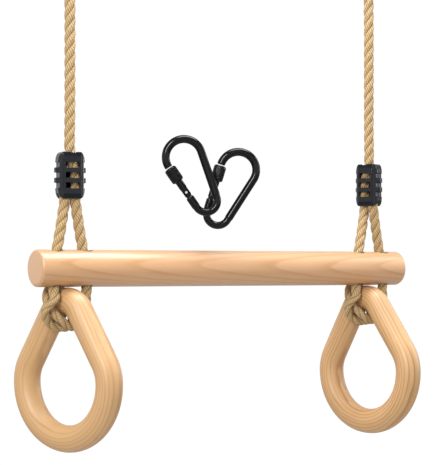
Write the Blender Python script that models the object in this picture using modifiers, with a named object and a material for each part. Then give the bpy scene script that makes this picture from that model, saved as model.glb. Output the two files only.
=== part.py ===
"""Gymnastics set: a wooden trapeze bar with two teardrop rings, two ropes, two rope clamps
and two screw-gate carabiners.

Frame: +X runs along the bar from left to right, +Y away from the front, +Z up.
The origin is midway between the upper bearing points of the two steel hanging rings.
All lengths are in metres.
"""
import math

import bmesh
import bpy
from mathutils import Matrix, Vector

MM = 0.001
GAP = 0.3 * MM                    # clearance between touching pieces

# ---- driving dimensions ----
BAR_LENGTH = 425 * MM
BAR_RADIUS = 17.5 * MM
BAR_EDGE_RADIUS = 3 * MM
BAR_Z = -400 * MM                 # height of the bar's axis
SIDE_X = 176 * MM                 # middle of each pair of holes, and of each rope
HOLE_OFFSET = 15.8 * MM           # each hole's distance from the middle of its pair
HOLE_RADIUS = 8 * MM

RING_TUBE_RADIUS = 12.7 * MM
RING_ARCH_RADIUS = 19.2 * MM      # centreline of the small arc at the top
RING_LIMB_ANGLE = 32.9            # degrees that the two straight limbs spread from plumb
RING_LIMB_LENGTH = 56.6 * MM
RING_SHOULDER_RADIUS = 36.5 * MM  # centreline of the bend from a limb to the bowl
RING_SHIFT_X = -3 * MM            # the arch sits a little left of its rope
LEFT_RING_TURN = 71.2             # degrees from the bar to the ring's plane
RIGHT_RING_TURN = 78.6
LEFT_RING_LEAN = 0.4              # degrees that the ring rests off plumb in its plane
RIGHT_RING_LEAN = 3.4

ROPE_RADIUS = 5 * MM
WRAP_RADIUS = 4.2 * MM            # the rope is squeezed where it wraps the ring
ROPE_STRAND = 5.2 * MM            # half the spacing of two strands side by side

CLAMP_BOTTOM = 65 * MM            # above the bar's axis
CLAMP_CAP = 9.8 * MM              # height of each end cap
CLAMP_NOTCH = 4.9 * MM
CLAMP_RIB = 4.7 * MM
CLAMP_HEIGHT = 2 * CLAMP_CAP + 3 * CLAMP_NOTCH + 2 * CLAMP_RIB
CLAMP_HALF_WIDTH = 15 * MM
CLAMP_CORE_HALF_WIDTH = 11.9 * MM
CLAMP_HALF_DEPTH = 8.7 * MM
CLAMP_PANEL_HALF_WIDTH = 8.8 * MM
CLAMP_WINDOW_HALF_WIDTH = 6.7 * MM
CLAMP_RECESS = 1.6 * MM           # the back's windows are blind
CLAMP_CHANNEL_RADIUS = 5.9 * MM   # round each of the two strands in the lower part
CLAMP_THROAT_RADIUS = 7.2 * MM    # round the one strand that leaves the top
CLAMP_THROAT_SHIFT = 1.6 * MM     # towards the side from which that strand comes up
LEFT_CLAMP_TURN = 10.0            # degrees that the clamp's face turns to the left
RIGHT_CLAMP_TURN = 69.0

HANGER_RADIUS = 23 * MM           # steel ring's centreline
HANGER_WIRE_RADIUS = 3 * MM
PIVOT_Z = -(2 * HANGER_RADIUS - HANGER_WIRE_RADIUS)
THIMBLE_BORE_RADIUS = 9 * MM
THIMBLE_GROOVE_RADIUS = 11 * MM
THIMBLE_FLANGE_RADIUS = 15 * MM
THIMBLE_HALF_WIDTH = 6.5 * MM
THIMBLE_Z = PIVOT_Z - (THIMBLE_BORE_RADIUS - HANGER_WIRE_RADIUS - 1.3 * MM)
FERRULE_TOP = THIMBLE_Z - 28 * MM
FERRULE_BOTTOM = FERRULE_TOP - 18 * MM

SNAP_ROD_RADIUS = 4 * MM
SNAP_WIDE_RADIUS = 17.6 * MM      # centreline radii of the carabiner's two bends
SNAP_NARROW_RADIUS = 11 * MM
SNAP_ARC_SPACING = 47.6 * MM
SNAP_NOSE_GAP = 0.9 * MM
SNAP_PIVOT_S = 29.5 * MM          # rivet, measured down the gate from its top tangent point
SNAP_HOOK_S = 35 * MM             # where the thick hook end stops
GATE_RADIUS = 3.7 * MM
GATE_BORE_RADIUS = 2.3 * MM
RIVET_RADIUS = 1.2 * MM
RIVET_HOLE_RADIUS = 1.25 * MM
SLEEVE_RADIUS = 6.1 * MM
SLEEVE_LENGTH = 15.6 * MM
TONGUE_HALF = 1.3 * MM            # half thickness of the hook's flat tongue
SNAP_TURN = 32.6                  # degrees that the carabiners' plane turns to the left
FRONT_SNAP = (-56 * MM, -8 * MM, BAR_Z + 107.7 * MM)     # centre of the wide bend
REAR_SNAP = (-4.5 * MM, -25.5 * MM, BAR_Z + 96.1 * MM)
FRONT_SNAP_TILT = -26.9           # degrees in its own plane
REAR_SNAP_TILT = 24.7

COLLECTION = "gymnastics_rings"


# ---- scene and helpers ----
def clear_scene():
    for item in list(bpy.data.objects):
        bpy.data.objects.remove(item)


def collection(name):
    made = bpy.data.collections.new(name)
    bpy.context.scene.collection.children.link(made)
    return made


def material(name, colour, roughness, metallic=0.0):
    made = bpy.data.materials.new(name)
    made.use_nodes = True
    shader = made.node_tree.nodes["Principled BSDF"]
    shader.inputs["Base Color"].default_value = (*colour, 1.0)
    shader.inputs["Roughness"].default_value = roughness
    shader.inputs["Metallic"].default_value = metallic
    return made


def add_object(name, data, group, surface=None):
    item = bpy.data.objects.new(name, data)
    group.objects.link(item)
    if surface is not None:
        data.materials.append(surface)
    return item


def poly_curve(points, radius, sides_level, cyclic=False, radii=None):
    """A round tube along the points, as a curve with a bevel."""
    curve = bpy.data.curves.new("tube", "CURVE")
    curve.dimensions = "3D"
    curve.bevel_depth = radius
    curve.bevel_resolution = sides_level
    curve.use_fill_caps = not cyclic
    spline = curve.splines.new("POLY")
    spline.points.add(len(points) - 1)
    for index, point in enumerate(points):
        spline.points[index].co = (*point, 1.0)
        spline.points[index].radius = 1.0 if radii is None else radii[index] / radius
    spline.use_cyclic_u = cyclic
    return curve


def curve_mesh_object(name, curve, group, surface=None, matrix=None):
    """Turns a curve into a welded mesh object."""
    source = bpy.data.objects.new(name + "_curve", curve)
    group.objects.link(source)
    if matrix is not None:
        source.matrix_world = matrix
    bpy.context.view_layer.update()
    graph = bpy.context.evaluated_depsgraph_get()
    mesh = bpy.data.meshes.new_from_object(source.evaluated_get(graph))
    world = source.matrix_world.copy()
    bpy.data.objects.remove(source)
    bm = bmesh.new()
    bm.from_mesh(mesh)
    bmesh.ops.remove_doubles(bm, verts=bm.verts, dist=0.01 * MM)
    bmesh.ops.recalc_face_normals(bm, faces=bm.faces)
    bm.to_mesh(mesh)
    bm.free()
    mesh.materials.clear()
    item = add_object(name, mesh, group, surface)
    item.matrix_world = world
    return item


def outline_curve(points, half_thickness):
    """A flat closed outline in its own XY plane, extruded both ways along its Z."""
    curve = bpy.data.curves.new("outline", "CURVE")
    curve.dimensions = "2D"
    curve.fill_mode = "BOTH"
    curve.extrude = half_thickness
    spline = curve.splines.new("POLY")
    spline.points.add(len(points) - 1)
    for index, (across, up) in enumerate(points):
        spline.points[index].co = (across, up, 0.0, 1.0)
    spline.use_cyclic_u = True
    return curve


def turned(name, profile, steps, group, surface=None):
    """Turns a profile of (radius, height) points about its Z axis with a Screw modifier."""
    mesh = bpy.data.meshes.new(name)
    mesh.from_pydata([(r, 0.0, z) for r, z in profile],
                     [(i, i + 1) for i in range(len(profile) - 1)], [])
    item = add_object(name, mesh, group, surface)
    screw = item.modifiers.new("turn", "SCREW")
    screw.axis = "Z"
    screw.steps = steps
    screw.render_steps = steps
    screw.use_merge_vertices = True
    screw.merge_threshold = 0.00001
    screw.use_smooth_shade = True
    return item


def cylinder(name, radius, height, sides, group, matrix, surface=None):
    """A cylinder along its own Z, centred on its origin."""
    bm = bmesh.new()
    bmesh.ops.create_cone(bm, cap_ends=True, segments=sides, radius1=radius, radius2=radius,
                          depth=height)
    mesh = bpy.data.meshes.new(name)
    bm.to_mesh(mesh)
    bm.free()
    item = add_object(name, mesh, group, surface)
    item.matrix_world = matrix
    return item


def block(name, size, group, matrix):
    bm = bmesh.new()
    bmesh.ops.create_cube(bm, size=1.0, matrix=Matrix.Diagonal((*size, 1.0)))
    mesh = bpy.data.meshes.new(name)
    bm.to_mesh(mesh)
    bm.free()
    item = add_object(name, mesh, group)
    item.matrix_world = matrix
    return item


def boolean(item, other, operation="DIFFERENCE"):
    """Cuts or joins with another object, which is then only a hidden guide."""
    modifier = item.modifiers.new(operation.lower(), "BOOLEAN")
    modifier.operation = operation
    modifier.solver = "EXACT"
    modifier.object = other
    other.hide_render = True
    other.display_type = "WIRE"


def smooth(item, angle=40.0):
    if item.type == "MESH":
        item.data.shade_smooth()
        item.data.set_sharp_from_angle(angle=math.radians(angle))


def arc(centre, radius, start, end, count):
    """Points of an arc in a plane, from one angle to another in degrees."""
    angles = [math.radians(start + (end - start) * i / (count - 1)) for i in range(count)]
    return [(centre[0] + radius * math.cos(a), centre[1] + radius * math.sin(a)) for a in angles]


def smooth_route(points, steps):
    """A Catmull-Rom curve through the points, with the given steps in each stretch."""
    padded = [points[0] * 2 - points[1]] + points + [points[-1] * 2 - points[-2]]
    route = []
    for i in range(1, len(padded) - 2):
        a, b, c, d = padded[i - 1:i + 3]
        for k in range(steps):
            t = k / steps
            route.append(0.5 * (2 * b + (c - a) * t + (2 * a - 5 * b + 4 * c - d) * t * t
                                + (3 * b - a - 3 * c + d) * t ** 3))
    route.append(padded[-2])
    return route


# ---- materials ----
def make_materials():
    return {
        "bar_wood": material("bar_wood", (0.80, 0.52, 0.30), 0.45),
        "ring_wood": material("ring_wood", (0.78, 0.47, 0.22), 0.40),
        "rope": material("rope", (0.62, 0.43, 0.20), 0.85),
        "clamp_plastic": material("clamp_plastic", (0.02, 0.02, 0.03), 0.35),
        "black_metal": material("black_metal", (0.02, 0.02, 0.02), 0.40, 0.6),
        "steel": material("steel", (0.62, 0.63, 0.65), 0.30, 1.0),
    }


# ---- trapeze bar ----
def build_bar(group, cutters, surface):
    half = BAR_LENGTH / 2
    rim = arc((BAR_RADIUS - BAR_EDGE_RADIUS, half - BAR_EDGE_RADIUS), BAR_EDGE_RADIUS, 90, 0, 4)
    profile = [(0.0, half)] + rim + [(r, -z) for r, z in reversed(rim)] + [(0.0, -half)]
    bar = turned("trapeze_bar", profile, 40, group, surface)
    bar.matrix_world = Matrix.Translation((0, 0, BAR_Z)) @ Matrix.Rotation(math.pi / 2, 4, "Y")
    for side in (-1, 1):
        for hole in (-1, 1):
            place = Matrix.Translation((side * SIDE_X + hole * HOLE_OFFSET, 0, BAR_Z))
            cutter = cylinder("bar_hole", HOLE_RADIUS, 3 * BAR_RADIUS, 20, cutters, place)
            boolean(bar, cutter)


# ---- teardrop rings ----
def ring_arch_centre(side):
    drop = BAR_RADIUS + 1.2 * GAP + RING_TUBE_RADIUS + RING_ARCH_RADIUS
    return Vector((side * SIDE_X + RING_SHIFT_X, 0, BAR_Z - drop))


def ring_outline():
    """Centreline of the ring in its own plane, with the arch's centre at the origin."""
    spread = math.radians(RING_LIMB_ANGLE)
    arch = arc((0, 0), RING_ARCH_RADIUS, 90, RING_LIMB_ANGLE, 6)
    x, z = arch[-1]
    down = (math.sin(spread), -math.cos(spread))
    limb = [(x + down[0] * RING_LIMB_LENGTH * k / 4, z + down[1] * RING_LIMB_LENGTH * k / 4)
            for k in (1, 2, 3, 4)]
    x, z = limb[-1]
    middle = (x + down[1] * RING_SHOULDER_RADIUS, z - down[0] * RING_SHOULDER_RADIUS)
    shoulder = arc(middle, RING_SHOULDER_RADIUS, RING_LIMB_ANGLE, 0, 5)
    bowl = arc((0, middle[1]), RING_SHOULDER_RADIUS + middle[0], 0, -90, 12)
    half = arch + limb + shoulder[1:] + bowl[1:]
    return half + [(-x, z) for x, z in reversed(half[1:-1])]


def build_ring(name, side, turn, lean, group, surface):
    points = [(x, 0, z) for x, z in ring_outline()]
    curve = poly_curve(points, RING_TUBE_RADIUS, 4, cyclic=True)
    ring = curve_mesh_object(name, curve, group, surface)
    ring.matrix_world = (Matrix.Translation(ring_arch_centre(side))
                         @ Matrix.Rotation(-math.radians(turn), 4, "Z")
                         @ Matrix.Rotation(-math.radians(lean), 4, "Y"))
    smooth(ring, 60)


# ---- ropes ----
def turned_left(across, turn):
    """A vector of a clamp's own left-to-right axis when its face turns to the left."""
    angle = math.radians(turn)
    return Vector((across * math.cos(angle), -across * math.sin(angle), 0))


def wrap_points(side, ring_turn):
    """Two turns of rope round the arch, as distances out of the ring's plane to its left side,
    along the plane to its far side, and above the arch's centre."""
    angle = math.radians(ring_turn)
    left = Vector((-math.sin(angle), -math.cos(angle), 0))
    far = Vector((-math.cos(angle), math.sin(angle), 0))
    centre = ring_arch_centre(side)
    stops = (
        (19.4, -2.2, 21.2), (25.6, 3.4, 10.8), (17.9, 7.6, 0.3), (8.4, 6.0, -5.0), (-1.0, 4.3, -5.8),
        (-13.2, 7.4, -2.4), (-18.2, 13.0, 10.2), (-13.6, 16.6, 25.8), (-1.0, 16.5, 32.8),
        (11.4, 14.6, 28.6), (17.8, 8.6, 18.2), (14.6, 1.8, 7.4), (7.6, -3.2, -0.6),
        (-1.5, -4.5, -5.0), (-11.9, -5.0, 2.4), (-17.7, -6.0, 15.5),
    )
    return [centre + left * (a * MM) + far * (b * MM) + Vector((0, 0, c * MM)) for a, b, c in stops]


def rope_points(side, ring_turn, clamp_turn):
    """The rope from its cut end in the ferrule, round the thimble, down through the clamp, through
    the bar, round the ring's arch, and back up to its other end inside the clamp. The long strand
    takes the inner hole on both sides of the set. Also the first and last places of the wrap."""
    x = side * SIDE_X
    eye = [(5.2, -45), (5.2, -37), (5.3, -28), (9.4, -18), (15.0, -7.5), (16.5, 3), (11.9, 12),
           (0, 16.6), (-11.9, 12), (-16.5, 3), (-15.0, -7.5), (-9.4, -18), (-5.3, -28), (-5.2, -37),
           (-5.1, -46), (0, -70)]
    points = [Vector((x, y * MM, THIMBLE_Z + z * MM)) for y, z in eye]
    strand = turned_left(ROPE_STRAND, clamp_turn)
    hole = Vector((HOLE_OFFSET, 0, 0))
    middle = Vector((x, 0, BAR_Z))
    up = Vector((0, 0, 1))
    top = CLAMP_BOTTOM + CLAMP_HEIGHT
    left = [middle - strand + up * (CLAMP_BOTTOM + height * MM) for height in (14, 5, -2)]
    left += [middle - strand * 0.4 - hole * 0.47 + up * (38 * MM), middle - hole * 0.86 + up * (17 * MM),
             middle - hole, middle - hole * 1.11 - up * (15 * MM)]
    right = [middle + hole * 1.1 - up * (15 * MM), middle + hole,
             middle + hole * 0.86 + up * (17 * MM), middle + strand * 0.4 + hole * 0.47 + up * (38 * MM)]
    right += [middle + strand + up * (CLAMP_BOTTOM + height * MM) for height in (-2, 5, 14)]
    wrap = wrap_points(side, ring_turn)
    loop = left + wrap + right
    if side < 0:
        loop.reverse()
        left, right = right, left
    loop[-1] = loop[-1] - up * (5 * MM)
    points += [middle + up * (height * MM) for height in (250, 200, 150)]
    points.append(middle + up * (top - 2 * MM))
    points.append(middle + strand * (-0.85 * side) + up * (top - 17 * MM))
    first = len(points) + len(left)
    return points + loop, first, first + len(wrap)


def build_rope(name, side, ring_turn, clamp_turn, group, surface):
    points, first, last = rope_points(side, ring_turn, clamp_turn)
    steps = 2
    route = smooth_route(points, steps)
    radii = []
    for index in range(len(route)):
        squeeze = first - 0.6 < index / steps < last - 0.4
        radii.append(WRAP_RADIUS if squeeze else ROPE_RADIUS)
    curve = poly_curve(route, ROPE_RADIUS, 2, radii=radii)
    rope = curve_mesh_object(name, curve, group, surface)
    smooth(rope, 60)


# ---- rope clamps ----
def clamp_front_outline():
    """The clamp seen from its front: tapered caps, and ribs with notches between them."""
    wide = CLAMP_HALF_WIDTH
    core = CLAMP_CORE_HALF_WIDTH
    cap = [(8.8 * MM, 0), (11.0 * MM, 1.8 * MM), (12.6 * MM, 5.2 * MM), (13.3 * MM, CLAMP_CAP)]
    right = list(cap)
    z = CLAMP_CAP
    for _ in range(2):
        right += [(core, z), (core, z + CLAMP_NOTCH)]
        z += CLAMP_NOTCH
        right += [(wide, z), (wide, z + CLAMP_RIB)]
        z += CLAMP_RIB
    right += [(core, z), (core, z + CLAMP_NOTCH)]
    right += [(x, CLAMP_HEIGHT - h) for x, h in reversed(cap)]
    return right + [(-x, h) for x, h in reversed(right)]


def clamp_side_outline():
    """The clamp seen from its side: flat front and back that draw in at the caps."""
    deep = CLAMP_HALF_DEPTH
    front = [(deep - 2.0 * MM, -1 * MM), (deep - 0.5 * MM, 4 * MM), (deep, CLAMP_CAP)]
    front += [(y, CLAMP_HEIGHT - z) for y, z in reversed(front)]
    return front + [(-y, z) for y, z in reversed(front)]


def clamp_plan_outline():
    """The clamp seen from above: oval ribs and a flat panel in front and behind."""
    panel = CLAMP_PANEL_HALF_WIDTH
    deep = CLAMP_HALF_DEPTH + 1 * MM
    oval = 8.9 * MM
    start = math.acos(panel / (CLAMP_HALF_WIDTH + 0.4 * MM))
    angles = [start - 2 * start * i / 8 for i in range(9)]
    right = [((CLAMP_HALF_WIDTH + 0.4 * MM) * math.cos(a), oval * math.sin(a)) for a in angles]
    right = [(panel, deep)] + right + [(panel, -deep)]
    return right + [(-x, y) for x, y in reversed(right)]


def build_clamp(prefix, side, turn, group, cutters, surface):
    place = (Matrix.Translation((side * SIDE_X, 0, BAR_Z + CLAMP_BOTTOM))
             @ Matrix.Rotation(-math.radians(turn), 4, "Z"))
    upright = Matrix.Rotation(math.pi / 2, 4, "X")
    sideways = Matrix.Rotation(math.pi / 2, 4, "Z") @ upright
    depth = 3 * CLAMP_HALF_WIDTH
    plan = curve_mesh_object(prefix + "_plan", outline_curve(clamp_plan_outline(), depth), cutters,
                             matrix=place)
    sides = curve_mesh_object(prefix + "_sides", outline_curve(clamp_side_outline(), depth), cutters,
                              matrix=place @ sideways)
    twin = [(ROPE_STRAND + x, y) for x, y in arc((0, 0), CLAMP_CHANNEL_RADIUS, -90, 90, 7)]
    twin += [(-x, y) for x, y in reversed(twin)]
    channel = curve_mesh_object(prefix + "_channel", outline_curve(twin, 17 * MM), cutters,
                                matrix=place @ Matrix.Translation((0, 0, 14.5 * MM)))
    throat = curve_mesh_object(
        prefix + "_throat",
        outline_curve(arc((-side * CLAMP_THROAT_SHIFT, 0), CLAMP_THROAT_RADIUS, 0, 337.5, 16), 10 * MM),
        cutters, matrix=place @ Matrix.Translation((0, 0, 38.5 * MM)))
    for half, facing, window_depth in (("front", -1, CLAMP_HALF_DEPTH), ("back", 1, CLAMP_RECESS)):
        shell = curve_mesh_object(f"{prefix}_{half}_shell",
                                  outline_curve(clamp_front_outline(), 2 * CLAMP_HALF_DEPTH), group,
                                  surface, place @ upright)
        keep = block(prefix + "_half", (60 * MM, 30 * MM, 120 * MM), cutters,
                     place @ Matrix.Translation((0, facing * (15 * MM + GAP / 2), 20 * MM)))
        for guide in (keep, plan, sides):
            boolean(shell, guide, "INTERSECT")
        windows = []
        for level in range(3):
            z = CLAMP_CAP + CLAMP_NOTCH / 2 + level * (CLAMP_NOTCH + CLAMP_RIB)
            size = (2 * CLAMP_WINDOW_HALF_WIDTH, 2 * window_depth, CLAMP_NOTCH + 0.3 * MM)
            windows.append(block(prefix + "_window", size, cutters,
                                 place @ Matrix.Translation((0, facing * CLAMP_HALF_DEPTH, z))))
        for cutter in (channel, throat, *windows):
            boolean(shell, cutter)


# ---- fittings at the ropes' upper ends ----
def build_hanger(prefix, side, group, surface):
    circle = arc((0, 0), HANGER_RADIUS, 0, 348, 30)
    curve = poly_curve([(x, 0, z) for x, z in circle], HANGER_WIRE_RADIUS, 2, cyclic=True)
    hanger = curve_mesh_object(prefix + "_hanging_ring", curve, group, surface)
    hanger.location = (side * SIDE_X, 0, PIVOT_Z + HANGER_RADIUS)
    smooth(hanger, 60)


def build_thimble(prefix, side, group, surface):
    groove = [(THIMBLE_GROOVE_RADIUS + 5.4 * MM - 5.4 * MM * math.cos(math.radians(a)),
               5.4 * MM * math.sin(math.radians(a))) for a in (60, 30, 0, -30, -60)]
    flange = [(THIMBLE_FLANGE_RADIUS, THIMBLE_HALF_WIDTH), (THIMBLE_FLANGE_RADIUS, 5.4 * MM)]
    profile = [(THIMBLE_BORE_RADIUS, THIMBLE_HALF_WIDTH)] + flange + groove
    profile += [(r, -z) for r, z in reversed(flange)] + [(THIMBLE_BORE_RADIUS, -THIMBLE_HALF_WIDTH)]
    profile.append(profile[0])
    thimble = turned(prefix + "_thimble", profile, 28, group, surface)
    thimble.matrix_world = (Matrix.Translation((side * SIDE_X, 0, THIMBLE_Z))
                            @ Matrix.Rotation(math.pi / 2, 4, "Y"))


def build_ferrule(prefix, side, group, cutters, surface):
    """An oval sleeve pressed round the two strands below the thimble."""
    height = FERRULE_TOP - FERRULE_BOTTOM
    middle = Matrix.Translation((side * SIDE_X, 0, FERRULE_BOTTOM + height / 2))
    shapes = []
    for radius, half in ((7.8 * MM, height / 2), (5.6 * MM, height)):
        oval = [(y, x + ROPE_STRAND) for x, y in arc((0, 0), radius, -90, 90, 9)]
        oval = [(y, x) for y, x in oval] + [(y, -x) for y, x in reversed(oval)]
        shapes.append((oval, half))
    ferrule = curve_mesh_object(prefix + "_ferrule", outline_curve(*shapes[0]), group, surface, middle)
    hollow = curve_mesh_object(prefix + "_ferrule_bore", outline_curve(*shapes[1]), cutters,
                               matrix=middle)
    boolean(ferrule, hollow)
    smooth(ferrule)


# ---- carabiners ----
def snap_half_angle():
    return math.asin((SNAP_WIDE_RADIUS - SNAP_NARROW_RADIUS) / SNAP_ARC_SPACING)


def gate_point(distance):
    """A point of the gate's line, measured down from where it leaves the wide bend."""
    tilt = snap_half_angle()
    start = (-SNAP_WIDE_RADIUS * math.cos(tilt), -SNAP_WIDE_RADIUS * math.sin(tilt))
    return Vector((start[0] + distance * math.sin(tilt), 0, start[1] - distance * math.cos(tilt)))


def gate_frame(place, distance):
    """A frame on the gate's line with its Z up the gate and its Y across the carabiner."""
    return (place @ Matrix.Translation(gate_point(distance))
            @ Matrix.Rotation(-snap_half_angle(), 4, "Y"))


def snap_centreline():
    """The bent rod from its nose, over the wide bend and down the spine, to the hook's end."""
    tilt = math.degrees(snap_half_angle())
    wide = arc((0, 0), SNAP_WIDE_RADIUS, 180 + tilt, -tilt, 15)
    narrow = arc((0, -SNAP_ARC_SPACING), SNAP_NARROW_RADIUS, -tilt, -180 + tilt, 11)
    end = gate_point(SNAP_HOOK_S)
    return [Vector((x, 0, z)) for x, z in wide + narrow] + [end]


def build_carabiner(prefix, place, group, cutters, surface, steel):
    body = curve_mesh_object(prefix + "_body", poly_curve(snap_centreline(), SNAP_ROD_RADIUS, 3),
                             group, surface, place)
    tongue_length = SNAP_HOOK_S - SNAP_PIVOT_S + 5.2 * MM
    tongue_middle = SNAP_HOOK_S + 1.5 * MM - tongue_length / 2
    tongue = block(prefix + "_tongue_guide", (5.6 * MM, 2 * TONGUE_HALF, tongue_length), cutters,
                   gate_frame(place, tongue_middle))
    boolean(body, tongue, "UNION")
    pivot_frame = gate_frame(place, SNAP_PIVOT_S)
    across = Matrix.Rotation(math.pi / 2, 4, "X")
    boolean(body, cylinder(prefix + "_tongue_hole", RIVET_HOLE_RADIUS, 12 * MM, 12, cutters,
                           pivot_frame @ across))
    smooth(body, 50)

    top = SNAP_NOSE_GAP
    bottom = SNAP_HOOK_S - 1.6 * MM
    gate = cylinder(prefix + "_gate", GATE_RADIUS, bottom - top, 16, group,
                    gate_frame(place, (top + bottom) / 2), surface)
    slot_top = SNAP_PIVOT_S - 4.8 * MM
    slot = block(prefix + "_gate_slot", (12 * MM, 2 * TONGUE_HALF + 2 * GAP, 20 * MM), cutters,
                 gate_frame(place, slot_top + 10 * MM))
    bore_top = SNAP_PIVOT_S - 18 * MM
    bore = cylinder(prefix + "_gate_bore", GATE_BORE_RADIUS, 20 * MM, 12, cutters,
                    gate_frame(place, bore_top + 10 * MM))
    pin_hole = cylinder(prefix + "_gate_pin_hole", RIVET_HOLE_RADIUS, 12 * MM, 12, cutters,
                        pivot_frame @ across)
    for cutter in (bore, slot, pin_hole):
        boolean(gate, cutter)
    smooth(gate)

    cylinder(prefix + "_rivet", RIVET_RADIUS, 7.6 * MM, 12, group, pivot_frame @ across, steel)
    sleeve = turned(prefix + "_sleeve", sleeve_profile(), 20, group, surface)
    sleeve.matrix_world = gate_frame(place, SNAP_NOSE_GAP + SLEEVE_LENGTH / 2)

    plunger = turned(prefix + "_plunger",
                     [(0, 2.2 * MM), (1.5 * MM, 2.2 * MM), (1.9 * MM, 1.6 * MM),
                      (1.9 * MM, -1.2 * MM), (1.2 * MM, -2.0 * MM), (0, -2.2 * MM)], 12, group, steel)
    plunger.matrix_world = gate_frame(place, SNAP_PIVOT_S - 7.2 * MM)
    build_spring(prefix, place, group, steel)


def sleeve_profile():
    """A locking nut with chamfered rims and a bore that clears the gate and the nose."""
    half = SLEEVE_LENGTH / 2
    bore = SNAP_ROD_RADIUS + 0.35 * MM
    rim = [(SLEEVE_RADIUS - 1.3 * MM, half), (SLEEVE_RADIUS - 0.3 * MM, half - 0.9 * MM),
           (SLEEVE_RADIUS, half - 2.0 * MM)]
    profile = [(bore, half)] + rim + [(r, -z) for r, z in reversed(rim)] + [(bore, -half)]
    return profile + [profile[0]]


def build_spring(prefix, place, group, surface):
    """The coil that pushes the plunger against the tongue and closes the gate."""
    turns, per_turn, length = 4, 8, 7.2 * MM
    points = []
    for i in range(turns * per_turn + 1):
        angle = 2 * math.pi * i / per_turn
        points.append(Vector((1.5 * MM * math.cos(angle), 1.5 * MM * math.sin(angle),
                              length * i / (turns * per_turn))))
    curve = poly_curve(points, 0.35 * MM, 1)
    spring = curve_mesh_object(prefix + "_spring", curve, group, surface,
                               gate_frame(place, SNAP_PIVOT_S - 9.9 * MM))
    smooth(spring, 60)


def snap_place(centre, tilt):
    """A carabiner's frame: its plane turned to face the front left, then tilted."""
    return (Matrix.Translation(centre) @ Matrix.Rotation(-math.radians(SNAP_TURN), 4, "Z")
            @ Matrix.Rotation(math.radians(tilt), 4, "Y"))


def main():
    clear_scene()
    group = collection(COLLECTION)
    cutters = collection("cutters")
    surfaces = make_materials()
    build_bar(group, cutters, surfaces["bar_wood"])
    sides = (("left", -1, LEFT_RING_TURN, LEFT_RING_LEAN, LEFT_CLAMP_TURN),
             ("right", 1, RIGHT_RING_TURN, RIGHT_RING_LEAN, RIGHT_CLAMP_TURN))
    for name, side, ring_turn, ring_lean, clamp_turn in sides:
        build_ring(name + "_ring", side, ring_turn, ring_lean, group, surfaces["ring_wood"])
        build_rope(name + "_rope", side, ring_turn, clamp_turn, group, surfaces["rope"])
        build_clamp(name + "_clamp", side, clamp_turn, group, cutters, surfaces["clamp_plastic"])
        build_hanger(name, side, group, surfaces["steel"])
        build_thimble(name, side, group, surfaces["clamp_plastic"])
        build_ferrule(name, side, group, cutters, surfaces["steel"])
    places = (("front_carabiner", snap_place(FRONT_SNAP, FRONT_SNAP_TILT)),
              ("rear_carabiner", snap_place(REAR_SNAP, REAR_SNAP_TILT)))
    for prefix, place in places:
        build_carabiner(prefix, place, group, cutters, surfaces["black_metal"], surfaces["steel"])


main()
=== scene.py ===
"""Looks of the gymnastics set: laid ropes, pine bar and rings, moulded clamps, black carabiners.

Same frame as the CAD: +X along the bar, +Y away from the front, +Z up, metres.
"""
import math

import bmesh
import bpy
from mathutils import Matrix, Vector


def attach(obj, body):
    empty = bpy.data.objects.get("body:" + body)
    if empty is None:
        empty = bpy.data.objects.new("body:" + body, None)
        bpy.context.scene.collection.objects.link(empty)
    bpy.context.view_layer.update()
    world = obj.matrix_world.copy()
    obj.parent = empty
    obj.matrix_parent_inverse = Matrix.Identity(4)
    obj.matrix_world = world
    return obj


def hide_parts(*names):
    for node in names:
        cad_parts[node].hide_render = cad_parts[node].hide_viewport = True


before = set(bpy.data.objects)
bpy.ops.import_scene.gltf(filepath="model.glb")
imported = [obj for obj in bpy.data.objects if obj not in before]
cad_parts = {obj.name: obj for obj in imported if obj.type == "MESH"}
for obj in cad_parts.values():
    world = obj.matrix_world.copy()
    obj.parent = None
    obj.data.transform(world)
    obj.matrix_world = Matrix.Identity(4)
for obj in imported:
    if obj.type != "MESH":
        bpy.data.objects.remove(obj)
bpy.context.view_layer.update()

MM = 0.001

# ---- places and sizes shared with the CAD ----
BAR_LENGTH = 425 * MM
BAR_RADIUS = 17.5 * MM
BAR_EDGE_RADIUS = 3 * MM
BAR_Z = -400 * MM
SIDE_X = 176 * MM
HOLE_OFFSET = 15.8 * MM
HOLE_RADIUS = 8 * MM

RING_TUBE_RADIUS = 12.7 * MM
RING_ARCH_RADIUS = 19.2 * MM
RING_LIMB_ANGLE = 32.9            # degrees
RING_LIMB_LENGTH = 56.6 * MM
RING_SHOULDER_RADIUS = 36.5 * MM
RING_DROP = 49.76 * MM            # from the bar's axis down to the arch's centre
RING_SHIFT_X = -3 * MM

ROPE_RADIUS = 5 * MM
ROPE_STRAND = 5.2 * MM            # half the spacing of two strands side by side

CLAMP_BOTTOM = 65 * MM
CLAMP_CAP = 9.8 * MM
CLAMP_NOTCH = 4.9 * MM
CLAMP_RIB = 4.7 * MM
CLAMP_HEIGHT = 2 * CLAMP_CAP + 3 * CLAMP_NOTCH + 2 * CLAMP_RIB
CLAMP_HALF_WIDTH = 15 * MM
CLAMP_CORE_HALF_WIDTH = 11.9 * MM
CLAMP_HALF_DEPTH = 8.7 * MM
CLAMP_PANEL_HALF_WIDTH = 8.8 * MM
CLAMP_WINDOW_HALF_WIDTH = 6.7 * MM
CLAMP_RECESS = 1.6 * MM           # depth of the back's blind windows
CLAMP_CHANNEL_RADIUS = 5.9 * MM   # round each of the two strands in the lower part
CLAMP_THROAT_RADIUS = 7.2 * MM    # round the one strand that leaves the top
CLAMP_THROAT_SHIFT = 1.6 * MM     # towards the side from which that strand comes up
CLAMP_SEAM = 0.3 * MM             # gap between the two shells

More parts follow.
